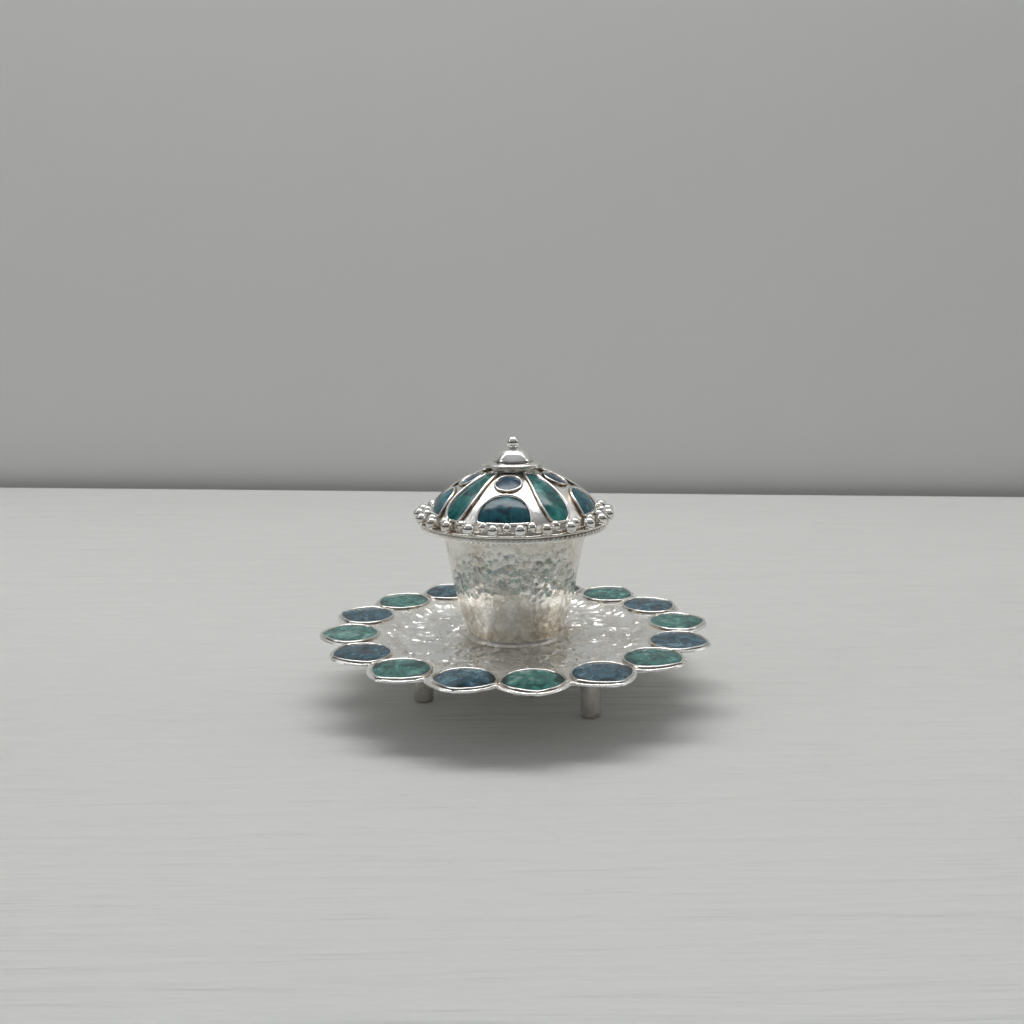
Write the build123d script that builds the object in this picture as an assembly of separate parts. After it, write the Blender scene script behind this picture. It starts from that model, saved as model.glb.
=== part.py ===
from build123d import *
import math
import os

# Sindoor (vermilion powder) box in silver with coloured enamel: a shallow
# sixteen-petal tray on three short round feet, a tapered cup soldered in its
# middle, and a domed lid that lifts off the cup.
# Millimetres.  +Z up, origin on the axis in the plane of the feet.
# Azimuth 0 points to the front (-Y) and grows towards +X.

os.makedirs("parts", exist_ok=True)

# ---------------------------------------------------------------- dimensions
PETALS = 16                 # petals round the tray
PETAL_PHASE = 5.0           # azimuth of the front petal
PETAL_PITCH = 360.0 / PETALS
TIP_R = 28.80               # petal tip radius at the front and the back
OVAL = 1.15                 # how much further out the side petals reach: 60 mm across
NOTCH_R = 26.90             # radius of the notch between two petals at the front
SHEET_T = 0.45              # tray sheet thickness
FLOOR_TOP = 9.30            # top of the tray floor
PETAL_TOP = 9.90            # top of the petal zone
FLOOR_R = 17.4              # floor ends
STEP_R = 19.3               # petal zone begins
CELL_IN_R = 19.8            # inner end of a petal's enamel
CELL_OUT_R = 27.85           # outer end of a petal's enamel
CELL_HALF_W = 4.05          # half width of a petal's enamel
WALL_W = 0.50               # width of the silver wall round a petal's enamel
WALL_H = 0.50               # its height above the sheet
ENAMEL_H = 0.38             # height of the petal enamel above the sheet

FOOT_D = 3.0
FEET = {"foot_front_right": (15.2, 45.0), "foot_front_left": (14.5, -75.9),
        "foot_rear": (14.9, 163.7)}                              # radius, azimuth

CUP_WALL = 0.50
CUP_FLOOR_T = 0.60
CUP_TOP = 27.00
CUP_PROFILE = [(7.00, 9.30), (7.75, 11.7), (8.45, 13.9), (9.10, 16.4),
               (9.85, 20.7), (10.55, 24.3), (10.95, 27.00)]     # outer radius, height
LIP_R = 13.10               # outside of the lip band
LIP_LOW = 26.25             # lower edge of the band at its outside
ROPE_D = 0.70               # rope wire round the lip
ROPE_Z = 26.60

LID_LOW = 27.05             # underside of the lid flange, just above the lip
FLANGE_TOP = 27.45
FLANGE_R = 14.45
STEP_TOP = 27.75
STEP_OUT_R = 13.45
DOME_FOOT_R = 12.40
COLLAR_R = 9.95             # locating collar, loose fit in the cup's mouth
COLLAR_LOW = 24.70
COLLAR_WALL = 0.50
DOME_WALL = 0.50
DOME_PROFILE = [(12.40, 27.05), (12.30, 28.00), (11.85, 29.20), (11.05, 30.30),
                (9.95, 31.22), (8.60, 32.15), (7.10, 33.02), (5.60, 33.72),
                (4.20, 34.20), (3.00, 34.45)]
DOME_HOLE_R = 0.62

OUTER_BEADS = 24
OUTER_BEAD_R = 0.88
OUTER_BEAD_RING = 14.20
INNER_BEAD_R = 0.76
INNER_BEAD_RING = 13.10
BEAD_PHASE = 3.0

# the lid's ornament repeats five times, set out by eye: azimuths of the cells
DROP_AZ = (32.0, 106.0, 176.0, 246.0, 314.5)
ARCH_AZ = (-7.0, 72.0, 141.0, 211.0, 281.0)
RIM_W = 0.34                # width of the silver wall round a lid cell
RIM_H = 0.42                # its height above the dome
LID_ENAMEL_H = 0.26

NECK_R = 3.30
NECK_LOW = 34.45
NECK_TOP = 35.30
CAP_R = 4.70
CAP_T = 0.40
BUD_FOOT_R = 3.05
BUD_LOW = 35.95
BUD_TOP = 37.85
BALL_R = 0.95
BALL_Z = 38.65
PIN_D = 1.10


# ---------------------------------------------------------------- helpers
def polar(r, az, z=0.0):
    t = math.radians(az)
    return (r * math.sin(t), -r * math.cos(t), z)


def to_azimuth(shape, az):
    """Turn a shape built along the front (-Y) to an azimuth."""
    return Rotation(0, 0, az) * shape


def ring_of(shape, count, phase):
    """Separate copies of one solid round the axis."""
    out = []
    for i in range(count):
        out.append(to_azimuth(shape, phase + i * 360.0 / count))
    return Compound(children=out)


def ring_at(shape, azimuths):
    """Separate copies of one solid at the given azimuths."""
    return Compound(children=[to_azimuth(shape, az) for az in azimuths])


def reach(az):
    """How much further out the tray reaches at an azimuth than at the front."""
    return OVAL * math.sin(math.radians(az)) ** 2


def petal_ring(shape, numbers):
    """Copies of a petal's solid, each shifted out by the tray's reach."""
    out = []
    for k in numbers:
        az = PETAL_PHASE + k * PETAL_PITCH
        out.append(to_azimuth(Pos(0, -reach(az), 0) * shape, az))
    return Compound(children=out)


def revolved(points):
    """Solid of revolution of a closed outline of (radius, height) points."""
    pts = [(r, 0, z) for r, z in points]
    face = make_face(Polyline(*pts, close=True))
    return revolve(face, Axis.Z, 360)


def revolved_wire(*edges):
    """Solid of revolution of a face bounded by the given edges in XZ."""
    face = make_face(Wire(list(edges)))
    return revolve(face, Axis.Z, 360)


def xz(r, z):
    return Vector(r, 0, z)


def offset_profile(points, d):
    """Points moved by d along the outward normal of the polyline."""
    out = []
    n = len(points)
    for i in range(n):
        a = points[max(i - 1, 0)]
        b = points[min(i + 1, n - 1)]
        tx, tz = b[0] - a[0], b[1] - a[1]
        l = math.hypot(tx, tz)
        nx, nz = tz / l, -tx / l
        out.append((points[i][0] + nx * d, points[i][1] + nz * d))
    return out


def save(name, shape):
    shape.label = name
    export_step(shape, os.path.join("parts", name + ".step"))


# ---------------------------------------------------------------- tray
# plan of one petal: two bulged flanks from the notches to a blunt point
def petal_outline_edges():
    edges = []
    half = PETAL_PITCH / 2
    for k in range(PETALS):
        az = PETAL_PHASE + k * PETAL_PITCH
        a = Vector(*polar(NOTCH_R + reach(az - half), az - half))
        t = Vector(*polar(TIP_R + reach(az), az))
        b = Vector(*polar(NOTCH_R + reach(az + half), az + half))
        mid = NOTCH_R * 0.40 + TIP_R * 0.60 + 0.10
        m1 = Vector(*polar(mid + reach(az - half * 0.48), az - half * 0.48))
        m2 = Vector(*polar(mid + reach(az + half * 0.48), az + half * 0.48))
        edges += [ThreePointArc(a, m1, t), ThreePointArc(t, m2, b)]
    return edges


outline = make_face(Wire(petal_outline_edges()))
dish = revolved([
    (0.0, FLOOR_TOP - SHEET_T), (FLOOR_R, FLOOR_TOP - SHEET_T),
    (STEP_R, PETAL_TOP - SHEET_T), (31.0, PETAL_TOP - SHEET_T),
    (31.0, PETAL_TOP), (STEP_R - 0.15, PETAL_TOP), (FLOOR_R - 0.15, FLOOR_TOP),
    (0.0, FLOOR_TOP)])
tray_plate = dish & extrude(outline, amount=20)
save("tray_plate", tray_plate)


# enamel cell of a petal: rounded inner side, blunt outer side, and two
# sharp corners left and right where they meet
CORNER_R = 24.5


def cell_face(grow_by):
    """Lens-like plan of a petal cell, grown evenly by grow_by."""
    w = CELL_HALF_W + grow_by * 1.35
    ri = CELL_IN_R - grow_by
    ro = CELL_OUT_R + grow_by
    l = Vector(-w, -CORNER_R, 0)
    r = Vector(w, -CORNER_R, 0)
    i = Vector(0, -ri, 0)
    o = Vector(0, -ro, 0)
    ml = Vector(-w * 0.52, -(CORNER_R + (ro - CORNER_R) * 0.70), 0)
    mr = Vector(w * 0.52, -(CORNER_R + (ro - CORNER_R) * 0.70), 0)
    return make_face(Wire([
        ThreePointArc(l, i, r),
        ThreePointArc(r, mr, o),
        ThreePointArc(o, ml, l)]))


cell = extrude(Pos(0, 0, PETAL_TOP) * cell_face(0), amount=ENAMEL_H)
wall = extrude(Pos(0, 0, PETAL_TOP) * cell_face(WALL_W), amount=WALL_H)
wall = wall - extrude(Pos(0, 0, PETAL_TOP) * cell_face(0), amount=WALL_H)
save("petal_cell_walls", petal_ring(wall, range(PETALS)))
save("petal_enamel_green", petal_ring(cell, range(0, PETALS, 2)))
save("petal_enamel_blue", petal_ring(cell, range(1, PETALS, 2)))

# ---------------------------------------------------------------- feet
for name, (ring_r, az) in FEET.items():
    h = FLOOR_TOP - SHEET_T
    foot = Cylinder(FOOT_D / 2, h, align=(Align.CENTER, Align.CENTER, Align.MIN))
    foot = chamfer(foot.edges().group_by(Axis.Z)[0], 0.18)
    save(name, Pos(*polar(ring_r, az)) * foot)

# ---------------------------------------------------------------- cup
outer_pts = [xz(r, z) for r, z in CUP_PROFILE]
inner_low = FLOOR_TOP + CUP_FLOOR_T
inner_prof = []
for r, z in CUP_PROFILE[1:]:
    inner_prof.append((r - CUP_WALL - 0.02, z))
inner_prof = [(7.00 - CUP_WALL + 0.18, inner_low)] + inner_prof
inner_pts = [xz(r, z) for r, z in inner_prof]
cup_body = revolved_wire(
    Line(xz(0, FLOOR_TOP), outer_pts[0]),
    Spline(*outer_pts),
    Line(outer_pts[-1], inner_pts[-1]),
    Spline(*list(reversed(inner_pts))),
    Line(inner_pts[0], xz(0, inner_low)),
    Line(xz(0, inner_low), xz(0, FLOOR_TOP)))
save("cup_body", cup_body)

cup_full = revolved_wire(
    Line(xz(0, FLOOR_TOP), outer_pts[0]),
    Spline(*outer_pts),
    Line(outer_pts[-1], xz(0, CUP_TOP)),
    Line(xz(0, CUP_TOP), xz(0, FLOOR_TOP)))

seam = revolved([(6.0, FLOOR_TOP), (7.55, FLOOR_TOP), (7.28, FLOOR_TOP + 0.30),
                 (7.05, FLOOR_TOP + 0.75), (6.0, FLOOR_TOP + 0.75)]) - cup_full
save("cup_solder_seam", seam)

lip = revolved([(10.0, 25.60), (11.1, 25.60), (12.1, 25.80), (LIP_R, LIP_LOW),
                (LIP_R, CUP_TOP), (10.0, CUP_TOP)]) - cup_full
save("cup_lip_band", lip)

rope = Pos(0, 0, ROPE_Z) * Torus(LIP_R + ROPE_D / 2 - 0.05, ROPE_D / 2)
rope = rope - Pos(0, 0, 20) * Cylinder(LIP_R, 10, align=(Align.CENTER, Align.CENTER, Align.MIN))
save("cup_rope_wire", rope)

# ---------------------------------------------------------------- lid
dome_pts = [xz(r, z) for r, z in DOME_PROFILE]
inside = offset_profile(DOME_PROFILE, -DOME_WALL)
inside[0] = (DOME_FOOT_R - DOME_WALL, LID_LOW)
inside_pts = [xz(r, z) for r, z in inside]
top_r, top_z = DOME_PROFILE[-1]
in_r, in_z = inside[-1]
dome = revolved_wire(
    Spline(*dome_pts),
    Line(dome_pts[-1], xz(DOME_HOLE_R, top_z)),
    Line(xz(DOME_HOLE_R, top_z), xz(DOME_HOLE_R, in_z)),
    Line(xz(DOME_HOLE_R, in_z), inside_pts[-1]),
    Spline(*list(reversed(inside_pts))),
    Line(inside_pts[0], dome_pts[0]))
save("lid_dome", dome)

dome_solid = revolved_wire(
    Spline(*dome_pts),
    Line(dome_pts[-1], xz(0, top_z)),
    Line(xz(0, top_z), xz(0, LID_LOW)),
    Line(xz(0, LID_LOW), dome_pts[0]))

flange = revolved([(11.0, LID_LOW), (FLANGE_R, LID_LOW), (FLANGE_R, FLANGE_TOP),
                   (STEP_OUT_R, FLANGE_TOP), (STEP_OUT_R, STEP_TOP), (11.0, STEP_TOP)])
flange = flange - dome_solid
save("lid_flange", flange)

collar = revolved([
    (COLLAR_R - COLLAR_WALL, COLLAR_LOW), (COLLAR_R, COLLAR_LOW), (COLLAR_R, LID_LOW),
    (DOME_FOOT_R - DOME_WALL - 0.08, LID_LOW), (DOME_FOOT_R - DOME_WALL - 0.08, FLANGE_TOP),
    (COLLAR_R - COLLAR_WALL, FLANGE_TOP)])
inner_void = revolved_wire(
    Spline(*inside_pts),
    Line(inside_pts[-1], xz(0, in_z)),
    Line(xz(0, in_z), xz(0, LID_LOW)),
    Line(xz(0, LID_LOW), inside_pts[0]))
plate = revolved([
    (COLLAR_R - COLLAR_WALL, LID_LOW), (DOME_FOOT_R, LID_LOW),
    (DOME_FOOT_R, FLANGE_TOP), (COLLAR_R - COLLAR_WALL, FLANGE_TOP)]) & inner_void
tube = revolved([
    (COLLAR_R - COLLAR_WALL, COLLAR_LOW), (COLLAR_R, COLLAR_LOW),
    (COLLAR_R, LID_LOW), (COLLAR_R - COLLAR_WALL, LID_LOW)])
save("lid_collar", plate + tube)


# bead rings: each bead has a small flat where it is soldered down
def bead(radius, ring_r, seat_z, sink):
    ball = Pos(0, -ring_r, seat_z + radius - sink) * Sphere(radius)
    cut = Pos(0, -ring_r, seat_z) * Box(4 * radius, 4 * radius, 2 * radius,
                                         align=(Align.CENTER, Align.CENTER, Align.MAX))
    return ball - cut


save("lid_beads_outer", ring_of(bead(OUTER_BEAD_R, OUTER_BEAD_RING, FLANGE_TOP, 0.10),
                                OUTER_BEADS, BEAD_PHASE))
save("lid_beads_inner", ring_of(bead(INNER_BEAD_R, INNER_BEAD_RING, STEP_TOP, 0.10),
                                OUTER_BEADS, BEAD_PHASE + 180.0 / OUTER_BEADS))

# skins that lie on the dome, for the cell walls and the enamel
def skin(height):
    raised = offset_profile(DOME_PROFILE, height)
    raised_pts = [xz(r, z) for r, z in raised]
    return revolved_wire(
        Spline(*raised_pts),
        Line(raised_pts[-1], xz(0, raised[-1][1])),
        Line(xz(0, raised[-1][1]), xz(0, raised[0][1])),
        Line(xz(0, raised[0][1]), raised_pts[0])) - dome_solid


wall_skin = skin(RIM_H)
enamel_skin = skin(LID_ENAMEL_H)


def arc_row(r, half_w, count):
    """Points along a circle about the lid's axis, from right to left."""
    span = math.asin(half_w / r)
    return [(r * math.sin(span * (1 - 2 * i / (count - 1))),
             -r * math.cos(span * (1 - 2 * i / (count - 1)))) for i in range(count)]


def drop_face(g):
    """Teardrop: narrow under the cap, broad at the foot and cut off along the
    beads; grown by g as measured on the dome's slant."""
    side = [(0.62, 4.30), (0.80, 5.2), (1.03, 6.3), (1.38, 7.7), (1.70, 9.0), (1.80, 10.2), (1.62, 11.05)]
    top_r = 4.15 - g
    foot = 11.72 + g * 0.45
    foot_w = 1.12 + g
    right = [(x + g, -(y - (g if i == 0 else 0))) for i, (x, y) in enumerate(side)]
    left = [(-x, y) for x, y in reversed(right)]
    row = arc_row(foot, foot_w, 5)
    head = Spline((left[-1][0], left[-1][1], 0), (0, -top_r, 0), (right[0][0], right[0][1], 0))
    flank_r = Spline(*[(x, y, 0) for x, y in right], (row[0][0], row[0][1], 0))
    base = Spline(*[(x, y, 0) for x, y in row])
    flank_l = Spline((row[-1][0], row[-1][1], 0), *[(x, y, 0) for x, y in left])
    return make_face(Wire([head, flank_r, base, flank_l]))


def arch_face(g):
    """Arch: round over the top, cut off with sharp corners along the beads."""
    half = [(3.48, 10.95), (3.12, 10.35), (2.45, 9.72), (1.45, 9.20), (0.0, 8.98)]
    foot = 11.72 + g * 0.45
    row = arc_row(foot, 3.52 + g * 1.25, 7)
    right = [(x + g * min(1.0, x / 2.4), -(y - g * (1 - 0.8 * x / 3.5))) for x, y in half]
    over = [row[0]] + right + [(-x, y) for x, y in reversed(right[:-1])] + [row[-1]]
    top = Spline(*[(x, y, 0) for x, y in over])
    base = Spline(*[(x, y, 0) for x, y in reversed(row)])
    return make_face(Wire([top, base]))


def round_face(g):
    return Pos(0, -6.30, 0) * make_face(Ellipse(1.70 + g, 1.50 + g * 0.92).edge())


for label, face_of, azimuths in (("teardrop", drop_face, DROP_AZ),
                                 ("arch", arch_face, ARCH_AZ),
                                 ("round", round_face, ARCH_AZ)):
    column = extrude(face_of(0), amount=60)
    if column.bounding_box().max.Z < 1:
        column = extrude(face_of(0), amount=-60)
    around = extrude(face_of(RIM_W), amount=60)
    if around.bounding_box().max.Z < 1:
        around = extrude(face_of(RIM_W), amount=-60)
    around = around - column
    fill = enamel_skin & column
    rim = wall_skin & around
    save("lid_" + label + "_enamel", ring_at(fill, azimuths))
    save("lid_" + label + "_walls", ring_at(rim, azimuths))

# ---------------------------------------------------------------- finial
neck = revolved([(PIN_D / 2 + 0.02, NECK_LOW), (2.75, NECK_LOW), (NECK_R, NECK_LOW + 0.22),
                 (NECK_R, NECK_TOP - 0.22), (NECK_R - 0.25, NECK_TOP), (PIN_D / 2 + 0.02, NECK_TOP)])
save("finial_neck", neck)

cap = revolved([(PIN_D / 2 + 0.02, NECK_TOP), (CAP_R - 0.12, NECK_TOP + 0.12), (CAP_R, NECK_TOP + 0.30),
                (CAP_R - 0.10, NECK_TOP + 0.46), (BUD_FOOT_R, BUD_LOW), (PIN_D / 2 + 0.02, BUD_LOW)])
save("finial_cap", cap)

bud = revolved([(PIN_D / 2 + 0.02, BUD_LOW), (BUD_FOOT_R, BUD_LOW), (2.98, 36.20), (2.72, 36.65), (2.35, 37.15),
                (1.80, 37.58), (1.10, BUD_TOP), (PIN_D / 2 + 0.02, BUD_TOP)])
save("finial_bud", bud)

pin_top = BUD_TOP + 0.05
ball = Pos(0, 0, BALL_Z) * Sphere(BALL_R)
ball = ball - Cylinder(5, pin_top, align=(Align.CENTER, Align.CENTER, Align.MIN))
save("finial_ball", ball)

# rivet that holds the finial stack: peened head inside the dome
head_z = in_z
pin = Pos(0, 0, head_z) * Cylinder(PIN_D / 2, pin_top - head_z, align=(Align.CENTER, Align.CENTER, Align.MIN))
head = Pos(0, 0, head_z - 0.45) * Cylinder(1.25, 0.45, align=(Align.CENTER, Align.CENTER, Align.MIN))
save("finial_rivet", pin + head)
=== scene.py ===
import bpy
import math
import numpy as np
from mathutils import Matrix, Vector


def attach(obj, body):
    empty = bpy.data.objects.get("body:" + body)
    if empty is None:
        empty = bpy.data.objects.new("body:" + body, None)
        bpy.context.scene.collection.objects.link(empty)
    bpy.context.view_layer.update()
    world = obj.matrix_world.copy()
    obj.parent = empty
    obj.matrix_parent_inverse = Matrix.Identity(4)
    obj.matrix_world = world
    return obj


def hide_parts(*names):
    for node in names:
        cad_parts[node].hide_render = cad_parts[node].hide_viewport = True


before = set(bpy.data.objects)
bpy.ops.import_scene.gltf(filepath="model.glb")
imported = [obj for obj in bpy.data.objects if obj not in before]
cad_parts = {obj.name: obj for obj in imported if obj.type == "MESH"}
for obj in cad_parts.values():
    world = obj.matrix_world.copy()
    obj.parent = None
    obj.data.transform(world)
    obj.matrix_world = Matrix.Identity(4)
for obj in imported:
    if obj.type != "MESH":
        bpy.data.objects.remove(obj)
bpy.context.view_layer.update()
MM = 0.001
TAU = 2 * math.pi
rng = np.random.default_rng(7)

# ------------------------------------------------------------------ sizes, mm
PETALS, PHASE, PITCH = 16, 5.0, 22.5
TIP_R, NOTCH_R, OVAL = 28.45, 25.40, 1.35
SHEET_T, FLOOR_TOP, PETAL_TOP = 0.45, 9.30, 9.90
FLOOR_R, STEP_R = 17.4, 19.3
CELL_IN, CELL_OUT, CELL_W, CORNER_R = 19.8, 27.85, 4.10, 24.5
CUP = [(7.00, 9.30), (7.75, 11.7), (8.45, 13.9), (9.10, 16.4), (9.85, 20.7), (10.55, 24.3), (10.95, 27.00)]
DOME = [(12.40, 27.05), (12.30, 28.00), (11.85, 29.20), (11.05, 30.30), (9.95, 31.22), (8.60, 32.15),
        (7.10, 33.02), (5.60, 33.72), (4.20, 34.20), (3.00, 34.45)]


# ------------------------------------------------------------------ mesh tools
def build(name, verts, faces, body, mat, stands_for=(), sharp=35.0, shade=None):
    me = bpy.data.meshes.new(name)
    me.from_pydata([tuple(v) for v in (np.asarray(verts, float) * MM).tolist()], [],
                   [tuple(int(i) for i in f) for f in faces])
    if shade is not None:
        at = me.attributes.new("shade", "FLOAT", "POINT")
        at.data.foreach_set("value", np.asarray(shade, np.float32))
    me.validate()
    me.update()
    me.polygons.foreach_set("use_smooth", [True] * len(me.polygons))
    me.set_sharp_from_angle(angle=math.radians(sharp))
    o = bpy.data.objects.new(name, me)
    bpy.context.scene.collection.objects.link(o)
    me.materials.append(mat)
    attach(o, body)
    if stands_for:
        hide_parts(*stands_for)
    return o


class Parts:
    """Gathers several closed shells into one mesh."""
    def __init__(self):
        self.v, self.f, self.n, self.a = [], [], 0, []

    def add(self, verts, faces, shade=None):
        verts = np.asarray(verts, float)
        self.v.append(verts)
        self.a.append(np.zeros(len(verts)) if shade is None else np.asarray(shade, float))
        self.f += [[i + self.n for i in q] for q in faces]
        self.n += len(verts)

    def verts(self):
        return np.concatenate(self.v)

    def shade(self):
        return np.concatenate(self.a)


def grid_faces(rows, cols, wrap_rows=False, wrap_cols=True, flip=False):
    """Quads of a rows x cols grid of vertices, row by row."""
    i = np.arange(rows if wrap_rows else rows - 1)
    j = np.arange(cols if wrap_cols else cols - 1)
    I, J = np.meshgrid(i, j, indexing="ij")
    I2, J2 = (I + 1) % rows, (J + 1) % cols
    q = np.stack([I * cols + J, I * cols + J2, I2 * cols + J2, I2 * cols + J], -1).reshape(-1, 4)
    return q[:, ::-1] if flip else q


def catmull(points, sub, closed=False):
    """Smooth curve through points."""
    p = np.asarray(points, float)
    n = len(p)
    out = []
    count = n if closed else n - 1
    for i in range(count):
        if closed:
            a, b, c, d = p[(i - 1) % n], p[i], p[(i + 1) % n], p[(i + 2) % n]
        else:
            b, c = p[i], p[i + 1]
            a = p[i - 1] if i > 0 else 2 * b - c
            d = p[i + 2] if i + 2 < n else 2 * c - b
        for k in range(sub):
            t = k / sub
            out.append(0.5 * (2 * b + (c - a) * t + (2 * a - 5 * b + 4 * c - d) * t ** 2 + (3 * b - 3 * c + d - a) * t ** 3))
    if not closed:
        out.append(p[-1])
    return np.array(out)


def resample(points, n, closed=False):
    """n points evenly spaced along a polyline."""
    p = np.asarray(points, float)
    if closed:
        p = np.vstack([p, p[:1]])
    s = np.concatenate([[0], np.cumsum(np.linalg.norm(np.diff(p, axis=0), axis=1))])
    t = np.linspace(0, s[-1], n + 1)[:-1] if closed else np.linspace(0, s[-1], n)
    return np.stack([np.interp(t, s, p[:, k]) for k in range(p.shape[1])], 1)


def lathe(profile, cols, wobble=None):
    """Closed ring of revolution from a closed (r, z) outline running anticlockwise in (r, z)."""
    prof = np.asarray(profile, float)
    th = np.arange(cols) * TAU / cols
    R = np.repeat(prof[:, 0][:, None], cols, 1)
    Z = np.repeat(prof[:, 1][:, None], cols, 1)
    T = np.repeat(th[None, :], len(prof), 0)
    if wobble is not None:
        R, Z = wobble(R, Z, T)
    v = np.stack([R * np.sin(T), -R * np.cos(T), Z], -1).reshape(-1, 3)
    return v, grid_faces(len(prof), cols, wrap_rows=True)


def solid_lathe(profile, cols, wobble=None):
    """Closed solid of revolution of an open (r, z) line from the axis below to the axis above."""
    prof = np.asarray(profile, float)
    core = prof[1:-1]
    th = np.arange(cols) * TAU / cols
    R = np.repeat(core[:, 0][:, None], cols, 1)
    Z = np.repeat(core[:, 1][:, None], cols, 1)
    T = np.repeat(th[None, :], len(core), 0)
    if wobble is not None:
        R, Z = wobble(R, Z, T)
    v = np.stack([R * np.sin(T), -R * np.cos(T), Z], -1).reshape(-1, 3)
    f = grid_faces(len(core), cols).tolist()
    n = len(v)
    v = np.vstack([v, [[0, 0, prof[0, 1]], [0, 0, prof[-1, 1]]]])
    for j in range(cols):
        j2 = (j + 1) % cols
        f.append([n, j2, j])
        last = (len(core) - 1) * cols
        f.append([n + 1, last + j, last + j2])
    return v, f


def round_corners(points, radius, steps=4):
    """Closed outline with each corner rounded."""
    p = np.asarray(points, float)
    n = len(p)
    rad = radius if hasattr(radius, "__len__") else [radius] * n
    out = []
    for i in range(n):
        a, b, c = p[i - 1], p[i], p[(i + 1) % n]
        la, lc = np.linalg.norm(a - b), np.linalg.norm(c - b)
        r = min(rad[i], 0.45 * la, 0.45 * lc)
        if r <= 1e-6:
            out.append(b)
            continue
        s, e = b + (a - b) / la * r, b + (c - b) / lc * r
        for k in range(steps + 1):
            t = k / steps
            out.append((1 - t) ** 2 * s + 2 * t * (1 - t) * b + t * t * e)
    return np.array(out)


# ------------------------------------------------------------------ noise in numpy
def value_noise(x, y, seed, period=None):
    """Smooth noise in -1..1 on a unit lattice, x may repeat after period cells."""
    g = np.random.default_rng(seed).uniform(-1, 1, (257, 257))
    xi, yi = np.floor(x).astype(int), np.floor(y).astype(int)
    fx, fy = x - xi, y - yi
    fx, fy = fx * fx * (3 - 2 * fx), fy * fy * (3 - 2 * fy)
    m = period or 257
    x0, x1 = xi % m, (xi + 1) % m
    y0, y1 = yi % 257, (yi + 1) % 257
    return ((g[x0, y0] * (1 - fx) + g[x1, y0] * fx) * (1 - fy)
            + (g[x0, y1] * (1 - fx) + g[x1, y1] * fx) * fy)


def dents(x, y, seed, period=None, jitter=0.85):
    """Squared distance to the nearest jittered lattice point, and to the second nearest: hammer marks."""
    g = np.random.default_rng(seed).uniform(-0.5, 0.5, (2, 257, 257)) * jitter
    xi, yi = np.floor(x).astype(int), np.floor(y).astype(int)
    m = period or 257
    best = np.full(x.shape, 9.0)
    second = np.full(x.shape, 9.0)
    for dx in (-1, 0, 1):
        for dy in (-1, 0, 1):
            cx, cy = xi + dx, yi + dy
            px = cx + 0.5 + g[0, cx % m, cy % 257]
            py = cy + 0.5 + g[1, cx % m, cy % 257]
            d = (x - px) ** 2 + (y - py) ** 2
            second = np.where(d < best, best, np.minimum(second, d))
            best = np.minimum(best, d)
    return best, second


def smooth(e0, e1, x):
    t = np.clip((x - e0) / (e1 - e0), 0, 1)
    return t * t * (3 - 2 * t)


# ------------------------------------------------------------------ materials
def tree(name):
    m = bpy.data.materials.new(name)
    m.use_nodes = True
    nt = m.node_tree
    b = nt.nodes["Principled BSDF"]
    tc = nt.nodes.new("ShaderNodeTexCoord")
    return m, nt, b, tc


def noise(nt, tc, scale, detail=4.0, rough=0.55, distort=0.0, stretch=None):
    n = nt.nodes.new("ShaderNodeTexNoise")
    n.inputs["Scale"].default_value = scale
    n.inputs["Detail"].default_value = detail
    n.inputs["Roughness"].default_value = rough
    n.inputs["Distortion"].default_value = distort
    if stretch:
        mp = nt.nodes.new("ShaderNodeMapping")
        mp.inputs["Scale"].default_value = stretch
        nt.links.new(tc.outputs["Object"], mp.inputs["Vector"])
        nt.links.new(mp.outputs["Vector"], n.inputs["Vector"])
    else:
        nt.links.new(tc.outputs["Object"], n.inputs["Vector"])
    return n


def ramp(nt, src, stops):
    r = nt.nodes.new("ShaderNodeValToRGB")
    el = r.color_ramp.elements
    while len(el) < len(stops):
        el.new(0.5)
    for e, (pos, col) in zip(el, stops):
        e.position = pos
        e.color = (*col, 1) if len(col) == 3 else col
    nt.links.new(src, r.inputs["Fac"])
    return r


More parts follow.
